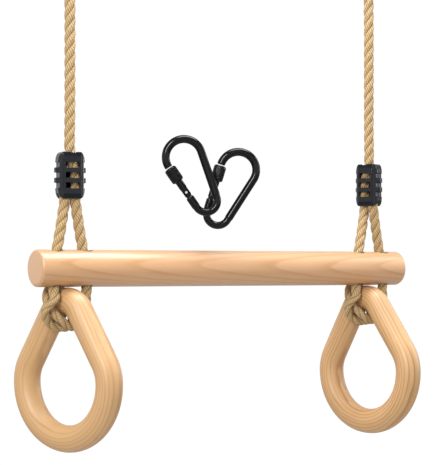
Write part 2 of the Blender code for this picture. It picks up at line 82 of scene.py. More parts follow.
HANGER_RADIUS = 23 * MM
HANGER_WIRE_RADIUS = 3 * MM
PIVOT_Z = -(2 * HANGER_RADIUS - HANGER_WIRE_RADIUS)
THIMBLE_Z = PIVOT_Z - 4.7 * MM
THIMBLE_BORE_RADIUS = 9 * MM
THIMBLE_FLANGE_RADIUS = 15 * MM
THIMBLE_HALF_WIDTH = 6.5 * MM
THIMBLE_GROOVE = 5.4 * MM         # radius of the groove that the rope lies in
FERRULE_TOP = THIMBLE_Z - 28 * MM
FERRULE_BOTTOM = FERRULE_TOP - 18 * MM

SNAP_ROD_RADIUS = 4 * MM
SNAP_WIDE_RADIUS = 17.6 * MM
SNAP_NARROW_RADIUS = 11 * MM
SNAP_ARC_SPACING = 47.6 * MM
SNAP_NOSE_GAP = 0.9 * MM
SNAP_PIVOT_S = 29.5 * MM          # rivet, measured down the gate from its top tangent point
SNAP_HOOK_S = 35 * MM             # where the thick hook end stops
SNAP_TURN = 32.6                  # degrees that the carabiners' plane turns to the left
GATE_RADIUS = 3.7 * MM
SLEEVE_RADIUS = 6.1 * MM
SLEEVE_LENGTH = 15.6 * MM
TONGUE_HALF = 1.3 * MM            # half thickness of the hook's flat tongue

# side, ring turn, ring lean and clamp turn in degrees
SIDES = {"left": (-1, 71.2, 0.4, 10.0), "right": (1, 78.6, 3.4, 69.0)}
# centre of the wide bend, and tilt in degrees
SNAPS = {"front": ((-56 * MM, -8 * MM, BAR_Z + 107.7 * MM), -26.9),
         "rear": ((-4.5 * MM, -25.5 * MM, BAR_Z + 96.1 * MM), 24.7)}

# ---- looks ----
CAMERA_PLACE = (-0.917, -1.413, BAR_Z)
CAMERA_LENS = 131.6
CAMERA_SHIFT = 0.077
LIGHT_TARGET = (0, 0, -0.38)
FLOOR_Z = -1.5
FLOOR_RADIUS = 7

ROPE_PITCH = 33 * MM              # length of one turn of the rope's three strands
ROPE_STEP = 0.8 * MM              # spacing of the rope's rings of vertices
ROPE_COLUMNS = 30
ROPE_FULLNESS = 1.06              # the strands' crowns stand out past the nominal radius
STRAND_OFFSET = 0.31              # each strand's centre and radius, as shares of the rope's radius
STRAND_RADIUS = 0.69
YARNS = 12                        # lines between yarns, counted round the rope
YARN_LENGTH = 1.775 * MM          # spacing of those lines along the rope
WRAP_SQUEEZE = 0.77               # share of its radius that the rope keeps where it wraps the ring
WRAP_REACH = 4 * MM               # how far the squeeze goes past the wrap's ends
WRAP_EASE = 8 * MM                # length over which it sets in

SHOULDER_STEP = 0.35 * MM         # the carabiners' rod is this much thinner round the narrow bend
SHOULDER_EASE = 0.7 * MM
ROD_END_EASE = 0.9 * MM
WIDE_STEPS = 60                   # points along the wide bend
NUT_FLUTES = 24


# ---- scene ----
def make_camera():
    data = bpy.data.cameras.new("camera")
    data.sensor_width = 36
    data.lens = CAMERA_LENS
    data.shift_y = CAMERA_SHIFT
    camera = bpy.data.objects.new("camera", data)
    camera.location = CAMERA_PLACE
    camera.rotation_euler = (math.pi / 2, 0, -math.radians(SNAP_TURN))
    bpy.context.scene.collection.objects.link(camera)
    bpy.context.scene.camera = camera


def area_light(name, place, size, power, colour=(1, 1, 1)):
    data = bpy.data.lights.new(name, "AREA")
    data.shape = "RECTANGLE"
    data.size, data.size_y = size
    data.energy = power
    data.color = colour
    light = bpy.data.objects.new(name, data)
    light.location = place
    aim = Vector(LIGHT_TARGET) - Vector(place)
    light.rotation_euler = aim.to_track_quat("-Z", "Y").to_euler()
    bpy.context.scene.collection.objects.link(light)


def make_studio():
    """A surround that is brightest round the horizon, three soft boxes and a pale floor."""
    scene = bpy.context.scene
    scene.view_settings.view_transform = "Standard"
    world = bpy.data.worlds.new("studio")
    world.use_nodes = True
    scene.world = world
    nodes, links = world.node_tree.nodes, world.node_tree.links
    place = nodes.new("ShaderNodeTexCoord")
    split = nodes.new("ShaderNodeSeparateXYZ")
    level = nodes.new("ShaderNodeMapRange")
    level.inputs["From Min"].default_value = -1
    level.inputs["From Max"].default_value = 1
    ramp = nodes.new("ShaderNodeValToRGB")
    # height from straight down (0) to straight up (1), and brightness
    stops = ((0.0, 0.12), (0.37, 0.14), (0.44, 1.0), (0.57, 1.0), (0.72, 0.45), (1.0, 0.40))
    while len(ramp.color_ramp.elements) < len(stops):
        ramp.color_ramp.elements.new(0.5)
    for element, (position, value) in zip(ramp.color_ramp.elements, stops):
        element.position = position
        element.color = (value, value, value, 1)
    links.new(place.outputs["Generated"], split.inputs[0])
    links.new(split.outputs["Z"], level.inputs["Value"])
    links.new(level.outputs["Result"], ramp.inputs["Fac"])
    links.new(ramp.outputs["Color"], nodes["Background"].inputs["Color"])
    nodes["Background"].inputs["Strength"].default_value = 1.03

    area_light("key", (-1.5, -0.95, 0.35), (0.28, 0.7), 20)
    area_light("top", (0.0, -0.15, 0.62), (1.0, 0.5), 18, (0.94, 0.96, 1.0))
    area_light("rim", (1.3, -0.35, 0.15), (0.14, 1.0), 6)

    shader = Shader("floor")
    speckle = shader.noise(shader.object_place(), 18, 3, 0.6)
    pale = shader.ramp(speckle, ((0.3, (0.70, 0.69, 0.67)), (0.7, (0.74, 0.73, 0.71))))
    shader.surface(pale, 0.8)
    bm = bmesh.new()
    bmesh.ops.create_circle(bm, cap_ends=True, segments=128, radius=FLOOR_RADIUS,
                            matrix=Matrix.Translation((0.1, 0, FLOOR_Z)))
    floor = mesh_object("floor", bm, shader.material)


# ---- materials ----
class Shader:
    """A Principled material with short calls for the nodes that feed it."""

    def __init__(self, name):
        self.material = bpy.data.materials.new(name)
        self.material.use_nodes = True
        self.tree = self.material.node_tree
        self.principled = self.tree.nodes["Principled BSDF"]

    def add(self, kind, inputs=(), **settings):
        node = self.tree.nodes.new("ShaderNode" + kind)
        for key, value in settings.items():
            setattr(node, key, value)
        for key, value in dict(inputs).items():
            self.feed(node.inputs[key], value)
        return node

    def feed(self, target, value):
        if isinstance(value, bpy.types.NodeSocket):
            self.tree.links.new(value, target)
        else:
            target.default_value = value

    def object_place(self):
        return self.add("TexCoord").outputs["Object"]

    def lay(self):
        """(turns round the piece, metres along it, 0), stored as its UV map."""
        return self.add("UVMap", uv_map="lay").outputs["UV"]

    def split(self, vector):
        return self.add("SeparateXYZ", {0: vector}).outputs

    def join(self, x, y, z):
        return self.add("CombineXYZ", {0: x, 1: y, 2: z}).outputs[0]

    def math(self, operation, a, b=0.0, c=0.0):
        return self.add("Math", {0: a, 1: b, 2: c}, operation=operation).outputs[0]

    def stretch(self, vector, scale):
        return self.add("Mapping", {"Vector": vector, "Scale": scale}).outputs[0]

    def noise(self, vector, scale, detail=2.0, roughness=0.5):
        return self.add("TexNoise", {"Vector": vector, "Scale": scale, "Detail": detail,
                                     "Roughness": roughness}).outputs["Fac"]

    def level(self, value, low, high, out_low=0.0, out_high=1.0):
        return self.add("MapRange", {"Value": value, "From Min": low, "From Max": high,
                                     "To Min": out_low, "To Max": out_high}).outputs[0]

    def ramp(self, value, stops):
        node = self.add("ValToRGB", {"Fac": value})
        while len(node.color_ramp.elements) < len(stops):
            node.color_ramp.elements.new(0.5)
        for element, (position, colour) in zip(node.color_ramp.elements, stops):
            element.position = position
            element.color = (*colour, 1)
        return node.outputs["Color"]

    def blend(self, factor, a, b, mode="MIX"):
        node = self.add("Mix", data_type="RGBA", blend_type=mode)
        colours = [socket for socket in node.inputs if socket.type == "RGBA"]
        self.feed(node.inputs[0], factor)
        for socket, value in zip(colours, (a, b)):
            self.feed(socket, value)
        return [socket for socket in node.outputs if socket.type == "RGBA"][0]

    def bump(self, height, distance, strength):
        return self.add("Bump", {"Height": height, "Distance": distance,
                                 "Strength": strength}).outputs[0]

    def surface(self, colour, roughness, normal=None, **fixed):
        self.feed(self.principled.inputs["Base Color"], colour)
        self.feed(self.principled.inputs["Roughness"], roughness)
        if normal is not None:
            self.feed(self.principled.inputs["Normal"], normal)
        for key, value in fixed.items():
            self.principled.inputs[key.replace("_", " ")].default_value = value
        return self.material


def growth(shader, across, up, along, pith, spacing, drift, wobble):
    """Repeating 0 to 1 across each growth ring of a log, whose pith lies at (across, up) = pith
    and drifts sideways along its length."""
    drifted = shader.math("MULTIPLY_ADD", along, drift, across)
    dx = shader.math("SUBTRACT", drifted, pith[0])
    dy = shader.math("SUBTRACT", up, pith[1])
    squared = shader.math("MULTIPLY_ADD", dx, dx, shader.math("MULTIPLY", dy, dy))
    distance = shader.math("SQRT", squared)
    slow = shader.noise(shader.join(across, up, shader.math("MULTIPLY", along, 0.16)), 38, 3)
    moved = shader.math("MULTIPLY_ADD", slow, wobble, distance)
    return shader.math("FRACT", shader.math("DIVIDE", moved, spacing))


def pine(shader, across, up, along, look):
    """Pine from a growth-ring pattern, fine fibres along the grain and slow colour drifts."""
    ring = growth(shader, across, up, along, look["pith"], look["spacing"], look["drift"],
                  look["wobble"])
    early, late = look["early"], look["late"]
    middle = tuple(a + (b - a) * 0.35 for a, b in zip(early, late))
    grain = shader.ramp(ring, ((0.0, early), (0.40, early), (0.72, middle), (0.86, late),
                               (0.94, late), (1.0, early)))
    long = shader.math("MULTIPLY", along, 0.035)
    fibre = shader.noise(shader.join(across, up, long), 1500, 3, 0.6)
    slow = shader.math("MULTIPLY", along, 0.06)
    streak = shader.noise(shader.join(across, up, slow), 240, 3, 0.6)
    drift = shader.noise(shader.join(across, up, shader.math("MULTIPLY", along, 0.5)), 26, 2)
    tone = shader.blend(shader.level(streak, 0.45, 0.8, 0, look["streaks"]), grain, (*late, 1))
    tone = shader.blend(shader.level(fibre, 0.35, 0.75, 0, 0.22), tone, (*early, 1))
    tone = shader.blend(shader.level(drift, 0.35, 0.7, 0, 0.45), tone,
                        (*(c * k for c, k in zip(early, look["blush"])), 1))
    rough = shader.level(fibre, 0.3, 0.7, look["rough"] - 0.05, look["rough"] + 0.08)
    relief = shader.math("MULTIPLY_ADD", ring, 0.3, shader.math("MULTIPLY", fibre, 0.7))
    normal = shader.bump(relief, 0.00012, 0.5)
    return shader.surface(tone, rough, normal, Coat_Weight=look["coat"],
                          Coat_Roughness=look["coat_rough"])


def bar_material():
    shader = Shader("bar_pine")
    x, y, z = shader.split(shader.object_place())[:3]
    up = shader.math("SUBTRACT", z, BAR_Z)
    look = {"pith": (0.062, -0.010), "spacing": 0.0031, "drift": -0.045, "wobble": 0.0032,
            "early": (0.612, 0.347, 0.168), "late": (0.49, 0.250, 0.092), "streaks": 0.36,
            "blush": (1.03, 0.98, 0.97), "rough": 0.38, "coat": 1.0, "coat_rough": 0.36}
    return pine(shader, y, up, x, look)


def ring_material(name, seed, contrast):
    """Bent pine, with growth rings that follow the ring. The seed picks a part of the log."""
    shader = Shader(name)
    turn, along = shader.split(shader.lay())[:2]
    angle = shader.math("MULTIPLY", turn, 2 * math.pi)
    across = shader.math("MULTIPLY", shader.math("COSINE", angle), RING_TUBE_RADIUS)
    up = shader.math("MULTIPLY", shader.math("SINE", angle), RING_TUBE_RADIUS)
    along = shader.math("ADD", along, seed)
    faint, strong = (0.55, 0.325, 0.145), (0.36, 0.155, 0.045)
    late = tuple(a + (b - a) * contrast for a, b in zip(faint, strong))
    look = {"pith": (0.012, 0.045), "spacing": 0.0034, "drift": 0.02, "wobble": 0.013,
            "early": (0.600, 0.362, 0.165), "late": late, "streaks": 0.25 * contrast + 0.25,
            "blush": (1.03, 1.0, 0.92), "rough": 0.46, "coat": 0.40, "coat_rough": 0.45}
    return pine(shader, across, up, along, look)


def rope_material():
    """Three strands of yarns: painted shade in the seams between strands and in the fine lines
    between yarns, and fibres.
    """
    shader = Shader("hemp")
    turn, along = shader.split(shader.lay())[:2]
    strand = shader.math("FRACT", shader.math("MULTIPLY", turn, 3))
    seam = shader.math("ABSOLUTE", shader.math("SUBTRACT", strand, 0.5))
    across = shader.math("MULTIPLY_ADD", turn, YARNS, shader.math("DIVIDE", along, YARN_LENGTH))
    yarn = shader.math("FRACT", across)
    ridge = shader.math("ABSOLUTE", shader.math("SUBTRACT", yarn, 0.5))
    fibre_place = shader.join(across, shader.math("MULTIPLY", along, 150), turn)
    fibre = shader.noise(fibre_place, 5.0, 4, 0.65)
    patch = shader.noise(shader.stretch(shader.object_place(), (1, 1, 1)), 90, 3, 0.6)
    tone = shader.ramp(fibre, ((0.25, (0.32, 0.205, 0.085)), (0.47, (0.54, 0.37, 0.175)),
                               (0.75, (0.79, 0.60, 0.35))))
    # the first two blends paint shade into the grooves between yarns and between strands; the
    # third is patchy tone of the fibres
    for share, painted_shade_and_tone in ((shader.level(ridge, 0.24, 0.48, 0.0, 0.80), (0.20, 0.11, 0.035, 1)),
                         (shader.level(seam, 0.38, 0.5, 0.0, 0.85), (0.13, 0.06, 0.016, 1)),
                         (shader.level(patch, 0.4, 0.7, 0.0, 0.35), (0.52, 0.32, 0.11, 1))):
        tone = shader.blend(share, tone, painted_shade_and_tone)
    height = shader.math("MULTIPLY_ADD", fibre, 0.5, shader.level(ridge, 0.2, 0.5, 0.6, 0.0))
    normal = shader.bump(height, 0.0006, 0.9)
    return shader.surface(tone, 0.78, normal, Sheen_Weight=0.08, Sheen_Roughness=0.5)


def plastic_material():
    """Moulded black plastic with a faint blue cast, fine orange-peel and a few rubbed spots."""
    shader = Shader("moulded_plastic")
    place = shader.object_place()
    peel = shader.noise(place, 900, 2)
    rub = shader.noise(place, 160, 4, 0.7)
    tone = shader.ramp(rub, ((0.35, (0.003, 0.004, 0.007)), (0.75, (0.007, 0.009, 0.014))))
    rough = shader.level(rub, 0.35, 0.75, 0.08, 0.16)
    normal = shader.bump(peel, 0.000012, 0.3)
    return shader.surface(tone, rough, normal, IOR=1.40)


def coated_metal_material():
    """Satin black coat over steel with a slight grain and polished wear."""
    shader = Shader("black_coat")
    place = shader.object_place()
    grain = shader.noise(place, 420, 2, 0.5)
    wear = shader.noise(place, 120, 4, 0.65)
    tone = shader.ramp(wear, ((0.4, (0.0015, 0.0015, 0.002)), (0.8, (0.004, 0.004, 0.005))))
    rough = shader.level(wear, 0.35, 0.75, 0.10, 0.15)
    normal = shader.bump(grain, 0.000004, 0.15)
    return shader.surface(tone, rough, normal, IOR=1.35)


def steel_material():
    shader = Shader("bright_steel")
    place = shader.object_place()
    scratch = shader.noise(shader.stretch(place, (1, 1, 6)), 700, 4, 0.7)
    cloud = shader.noise(place, 90, 3, 0.6)
    tone = shader.ramp(cloud, ((0.3, (0.50, 0.51, 0.53)), (0.75, (0.68, 0.69, 0.70))))
    rough = shader.level(scratch, 0.3, 0.7, 0.22, 0.40)
    normal = shader.bump(scratch, 0.00003, 0.5)
    return shader.surface(tone, rough, normal, Metallic=1.0)


# ---- mesh helpers ----
def mesh_object(name, bm, material=None):
    mesh = bpy.data.meshes.new(name)
    bm.to_mesh(mesh)
    bm.free()
    item = bpy.data.objects.new(name, mesh)
    bpy.context.scene.collection.objects.link(item)
    if material is not None:
        mesh.materials.append(material)
    mesh.shade_smooth()
    return item


def piece(item, body, slot, *nodes):
    """Gives a finished piece its body and hides the CAD nodes it stands for. The slot is not used.
    """
    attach(item, body)
    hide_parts(*nodes)


def apply_modifiers(item):
    graph = bpy.context.evaluated_depsgraph_get()
    mesh = bpy.data.meshes.new_from_object(item.evaluated_get(graph))
    item.modifiers.clear()
    old, item.data = item.data, mesh
    bpy.data.meshes.remove(old)


def bake_place(item):
    """Moves the mesh instead of the object, so that object coordinates are the shared frame's."""
    item.data.transform(item.matrix_world)
    item.matrix_world = Matrix.Identity(4)


def arc(centre, radius, start, end, count):
    """Points of an arc in a plane, from one angle to another in degrees."""
    angles = [math.radians(start + (end - start) * i / (count - 1)) for i in range(count)]
    return [(centre[0] + radius * math.cos(a), centre[1] + radius * math.sin(a)) for a in angles]


def spaced(points, step, closed=False):
    """Points at even distances along a line through the given points, those distances, and the
    distances of the given points themselves."""
    line = list(points) + ([points[0]] if closed else [])
    reach = [0.0]
    for a, b in zip(line, line[1:]):
        reach.append(reach[-1] + (b - a).length)
    count = max(2, round(reach[-1] / step))
    out, along, k = [], [], 0
    for i in range(count if closed else count + 1):
        target = reach[-1] * i / count
        while k < len(reach) - 2 and reach[k + 1] < target:
            k += 1
        t = (target - reach[k]) / max(reach[k + 1] - reach[k], 1e-12)
        out.append(line[k].lerp(line[k + 1], t))
        along.append(target)
    return out, along, reach


def sweep(name, path, along, radius_at, columns, material, closed=False, twist=0.0, first=None):
    """Skins a tube along a path. radius_at(turn, index) gives the radius of each vertex, twist is
    how many turns the columns make per metre, first is where column 0 starts, and the UV map "lay"
    holds (turn, metres along)."""
    count = len(path)
    total = along[-1] + ((path[0] - path[-1]).length if closed else 0.0)
    normal = first
    rings = []
    bm = bmesh.new()
    for i, point in enumerate(path):
        before = path[i - 1] if (i or closed) else point
        after = path[(i + 1) % count] if (i < count - 1 or closed) else point
        tangent = (after - before).normalized()
        if normal is None:
            normal = tangent.orthogonal()
        normal = (normal - tangent * normal.dot(tangent)).normalized()
        side = tangent.cross(normal)
        ring = []
        for j in range(columns):
            angle = 2 * math.pi * (j / columns + twist * along[i])
            radius = radius_at(j / columns, i)
            ring.append(bm.verts.new(point + normal * (radius * math.cos(angle))
                                     + side * (radius * math.sin(angle))))
        rings.append(ring)
    uv = bm.loops.layers.uv.new("lay")
    for i in range(count if closed else count - 1):
        a, b = rings[i], rings[(i + 1) % count]
        low = along[i]
        high = total if i == count - 1 else along[i + 1]
        for j in range(columns):
            k = (j + 1) % columns
            face = bm.faces.new((a[j], a[k], b[k], b[j]))
            for loop, place in zip(face.loops, ((j, low), (j + 1, low), (j + 1, high), (j, high))):
                loop[uv].uv = (place[0] / columns, place[1])
    if not closed:
        bm.faces.new(list(reversed(rings[0])))
        bm.faces.new(rings[-1])
    bmesh.ops.recalc_face_normals(bm, faces=bm.faces)
    return mesh_object(name, bm, material)


def lathe(name, profile, sides, material, matrix, flutes=0, depth=0.0):
    """Turns a closed or axis-to-axis profile of (radius, height) points about Z. Flutes are that
    many shallow grooves in its widest part."""
    bm = bmesh.new()
    rings = []
    widest = max(r for r, _ in profile)
    for radius, height in profile:
        if radius < 1e-9:
            rings.append([bm.verts.new((0, 0, height))])
            continue
        ring = []
        for j in range(sides):
            angle = 2 * math.pi * j / sides
            cut = 0.0
            if flutes and radius > 0.97 * widest:
                cut = depth * (0.5 - 0.5 * math.cos(flutes * angle)) ** 3
            ring.append(bm.verts.new(((radius - cut) * math.cos(angle),
                                      (radius - cut) * math.sin(angle), height)))
        rings.append(ring)
    pairs = list(zip(rings, rings[1:]))
    if len(rings[0]) > 1:
        pairs.append((rings[-1], rings[0]))
    for a, b in pairs:
        for j in range(sides):
            k = (j + 1) % sides
            corners = [a[j % len(a)], a[k % len(a)], b[k % len(b)], b[j % len(b)]]
            kept = [v for n, v in enumerate(corners) if v not in corners[:n]]
            if len(kept) > 2:
                bm.faces.new(kept)
    bmesh.ops.recalc_face_normals(bm, faces=bm.faces)
    item = mesh_object(name, bm, material)
    item.data.set_sharp_from_angle(angle=math.radians(32))
    item.matrix_world = matrix
    return item


def prism(name, outline, half, matrix):
    """A flat outline in XY, extruded both ways along Z."""
    bm = bmesh.new()
    base = bm.faces.new([bm.verts.new((x, y, -half)) for x, y in outline])
    grown = bmesh.ops.extrude_face_region(bm, geom=[base])["geom"]
    bmesh.ops.translate(bm, vec=(0, 0, 2 * half),
                        verts=[v for v in grown if isinstance(v, bmesh.types.BMVert)])
    bmesh.ops.recalc_face_normals(bm, faces=bm.faces)
    item = mesh_object(name, bm)
    item.matrix_world = matrix
    return item


def box(name, size, matrix):
    half_x, half_y = size[0] / 2, size[1] / 2
    corners = [(-half_x, -half_y), (half_x, -half_y), (half_x, half_y), (-half_x, half_y)]
    return prism(name, corners, size[2] / 2, matrix)


def combine(item, others, operation):
    """Applies a Boolean with each guide and removes the guides."""
    for other in others:
        modifier = item.modifiers.new(other.name, "BOOLEAN")
        modifier.operation = operation
        modifier.solver = "EXACT"
        modifier.object = other
    apply_modifiers(item)
    for other in others:
        bpy.data.objects.remove(other)


# ---- ropes ----
def wrap_points(side, ring_turn):
    """Two turns of rope round the arch. The stops are mm out to the ring's left, towards its far
    side, and above the arch's centre."""
    angle = math.radians(ring_turn)
    left = Vector((-math.sin(angle), -math.cos(angle), 0))
    far = Vector((-math.cos(angle), math.sin(angle), 0))
    centre = Vector((side * SIDE_X + RING_SHIFT_X, 0, BAR_Z - RING_DROP))
    stops = (
        (19.4, -2.2, 21.2), (25.6, 3.4, 10.8), (17.9, 7.6, 0.3), (8.4, 6.0, -5.0),
        (-1.0, 4.3, -5.8), (-13.2, 7.4, -2.4), (-18.2, 13.0, 10.2), (-13.6, 16.6, 25.8),
        (-1.0, 16.5, 32.8), (11.4, 14.6, 28.6), (17.8, 8.6, 18.2), (14.6, 1.8, 7.4),
        (7.6, -3.2, -0.6), (-1.5, -4.5, -5.0), (-11.9, -5.0, 2.4), (-17.7, -6.0, 15.5),
    )
    return [centre + left * (a * MM) + far * (b * MM) + Vector((0, 0, c * MM))
            for a, b, c in stops]


def rope_points(side, ring_turn, clamp_turn):
    """The CAD's route: ferrule, thimble, clamp, bar, ring's arch, bar, clamp. Also the first and
    last places of the wrap."""
    x = side * SIDE_X
    eye = [(5.2, -45), (5.2, -37), (5.3, -28), (9.4, -18), (15.0, -7.5), (16.5, 3), (11.9, 12),
           (0, 16.6), (-11.9, 12), (-16.5, 3), (-15.0, -7.5), (-9.4, -18), (-5.3, -28),
           (-5.2, -37), (-5.1, -46), (0, -70)]
    points = [Vector((x, y * MM, THIMBLE_Z + z * MM)) for y, z in eye]
    angle = math.radians(clamp_turn)
    strand = Vector((ROPE_STRAND * math.cos(angle), -ROPE_STRAND * math.sin(angle), 0))
    hole = Vector((HOLE_OFFSET, 0, 0))
    middle = Vector((x, 0, BAR_Z))
    up = Vector((0, 0, 1))
    top = CLAMP_BOTTOM + CLAMP_HEIGHT
    left = [middle - strand + up * (CLAMP_BOTTOM + height * MM) for height in (14, 5, -2)]
    left += [middle - strand * 0.4 - hole * 0.47 + up * (38 * MM),
             middle - hole * 0.86 + up * (17 * MM), middle - hole,
             middle - hole * 1.11 - up * (15 * MM)]
    right = [middle + hole * 1.1 - up * (15 * MM), middle + hole,
             middle + hole * 0.86 + up * (17 * MM),
             middle + strand * 0.4 + hole * 0.47 + up * (38 * MM)]
    right += [middle + strand + up * (CLAMP_BOTTOM + height * MM) for height in (-2, 5, 14)]
    wrap = wrap_points(side, ring_turn)
    loop = left + wrap + right
    if side < 0:
        loop.reverse()
        left, right = right, left
    loop[-1] = loop[-1] - up * (5 * MM)
    points += [middle + up * (height * MM) for height in (250, 200, 150)]
    points.append(middle + up * (top - 2 * MM))
    points.append(middle + strand * (-0.85 * side) + up * (top - 17 * MM))
    first = len(points) + len(left)
    return points + loop, first, first + len(wrap)


def smooth_route(points, steps):
    """A Catmull-Rom curve through the points."""
    padded = [points[0] * 2 - points[1]] + points + [points[-1] * 2 - points[-2]]
    route = []
    for i in range(1, len(padded) - 2):
        a, b, c, d = padded[i - 1:i + 3]
        for k in range(steps):
            t = k / steps
            route.append(0.5 * (2 * b + (c - a) * t + (2 * a - 5 * b + 4 * c - d) * t * t
                                + (3 * b - a - 3 * c + d) * t ** 3))
    route.append(padded[-2])
    return route


def lobed(turn):
    """Outline of three round strands pressed together, as a share of the rope's radius."""
    angle = (turn * 3 % 1 - 0.5) * 2 * math.pi / 3
    sideways = STRAND_OFFSET * math.sin(angle)
    return STRAND_OFFSET * math.cos(angle) + math.sqrt(STRAND_RADIUS ** 2 - sideways ** 2)


def build_rope(name, side, ring_turn, clamp_turn, material):
    steps = 10
    points, first, last = rope_points(side, ring_turn, clamp_turn)
    route = smooth_route(points, steps)
    path, along, reach = spaced(route, ROPE_STEP)
    wrap_start = reach[first * steps] - WRAP_REACH
    wrap_end = reach[last * steps - steps] + WRAP_REACH

    def radius_at(turn, index):
        inside = min(along[index] - wrap_start, wrap_end - along[index])
        squeeze = 1 - (1 - WRAP_SQUEEZE) * min(1, max(0, inside / WRAP_EASE))
        return ROPE_RADIUS * ROPE_FULLNESS * lobed(turn) * squeeze

    rope = sweep(name, path, along, radius_at, ROPE_COLUMNS, material, twist=1 / ROPE_PITCH)
    piece(rope, "trapeze", "rope", name.replace("_laid", ""))


# ---- bar and rings ----
def build_bar(material):
    half = BAR_LENGTH / 2
    rim = arc((BAR_RADIUS - BAR_EDGE_RADIUS, half - BAR_EDGE_RADIUS), BAR_EDGE_RADIUS, 90, 0, 9)
    profile = [(0.0, half)] + rim + [(r, -z) for r, z in reversed(rim)] + [(0.0, -half)]
    lying = Matrix.Translation((0, 0, BAR_Z)) @ Matrix.Rotation(math.pi / 2, 4, "Y")
    bar = lathe("pine_bar", profile, 96, material, lying)
    bake_place(bar)
    circle = arc((0, 0), HOLE_RADIUS, 0, 352.5, 48)
    holes = []
    for side in (-1, 1):
        for hole in (-1, 1):
            place = Matrix.Translation((side * SIDE_X + hole * HOLE_OFFSET, 0, BAR_Z))
            holes.append(prism("hole", circle, 2 * BAR_RADIUS, place))
    combine(bar, holes, "DIFFERENCE")
    bevel = bar.modifiers.new("rims", "BEVEL")
    bevel.limit_method = "ANGLE"
    bevel.angle_limit = math.radians(40)
    bevel.width = 0.7 * MM
    bevel.segments = 3
    apply_modifiers(bar)
    bar.data.shade_smooth()
    bar.data.set_sharp_from_angle(angle=math.radians(35))
    piece(bar, "trapeze", "bar_wood", "trapeze_bar")


def ring_outline():
    """Centreline of the ring in its own plane, with the arch's centre at the origin."""
    spread = math.radians(RING_LIMB_ANGLE)
    arch = arc((0, 0), RING_ARCH_RADIUS, 90, RING_LIMB_ANGLE, 20)
    x, z = arch[-1]
    x += math.sin(spread) * RING_LIMB_LENGTH
    z -= math.cos(spread) * RING_LIMB_LENGTH
    middle = (x - math.cos(spread) * RING_SHOULDER_RADIUS,
              z - math.sin(spread) * RING_SHOULDER_RADIUS)
    shoulder = arc(middle, RING_SHOULDER_RADIUS, RING_LIMB_ANGLE, 0, 16)
    bowl = arc((0, middle[1]), RING_SHOULDER_RADIUS + middle[0], 0, -90, 40)
    half = arch + shoulder + bowl[1:]
    return [Vector((x, 0, z)) for x, z in half + [(-x, z) for x, z in reversed(half[1:-1])]]


def build_ring(name, side, turn, lean, material):
    place = (Matrix.Translation((side * SIDE_X + RING_SHIFT_X, 0, BAR_Z - RING_DROP))
             @ Matrix.Rotation(-math.radians(turn), 4, "Z")
             @ Matrix.Rotation(-math.radians(lean), 4, "Y"))
    path, along, _ = spaced([place @ p for p in ring_outline()], 1.8 * MM, closed=True)
    facing = (place.to_3x3() @ Vector((0, 1, 0))).normalized()
    ring = sweep(name + "_turned", path, along, lambda turn, index: RING_TUBE_RADIUS, 56, material,
                 closed=True, first=facing)
    piece(ring, name, "ring_wood", name)


# ---- rope clamps ----
def clamp_front_outline():
    """The clamp from its front: tapered caps, and ribs with notches between them."""
    wide = CLAMP_HALF_WIDTH
    core = CLAMP_CORE_HALF_WIDTH
    cap = [(8.8 * MM, 0), (11.0 * MM, 1.8 * MM), (12.6 * MM, 5.2 * MM), (13.3 * MM, CLAMP_CAP)]
    right = list(cap)
    z = CLAMP_CAP
    for _ in range(2):
        right += [(core, z), (core, z + CLAMP_NOTCH)]
        z += CLAMP_NOTCH
        right += [(wide, z), (wide, z + CLAMP_RIB)]
        z += CLAMP_RIB
    right += [(core, z), (core, z + CLAMP_NOTCH)]
    right += [(x, CLAMP_HEIGHT - h) for x, h in reversed(cap)]
    return right + [(-x, h) for x, h in reversed(right)]


def clamp_side_outline():
    """The clamp from its side: flat front and back that draw in at the caps."""
    deep = CLAMP_HALF_DEPTH
    front = [(deep - 2.0 * MM, -1 * MM), (deep - 0.5 * MM, 4 * MM), (deep, CLAMP_CAP)]
    front += [(y, CLAMP_HEIGHT - z) for y, z in reversed(front)]
    return front + [(-y, z) for y, z in reversed(front)]


def clamp_plan_outline():
    """The clamp from above: oval ribs and a flat panel in front and behind."""
    panel = CLAMP_PANEL_HALF_WIDTH
    deep = CLAMP_HALF_DEPTH + 1 * MM
    oval_width, oval_depth = CLAMP_HALF_WIDTH + 0.4 * MM, 8.9 * MM
    start = math.acos(panel / oval_width)
    angles = [start - 2 * start * i / 24 for i in range(25)]
    right = [(oval_width * math.cos(a), oval_depth * math.sin(a)) for a in angles]
    right = [(panel, deep)] + right + [(panel, -deep)]
    return right + [(-x, y) for x, y in reversed(right)]


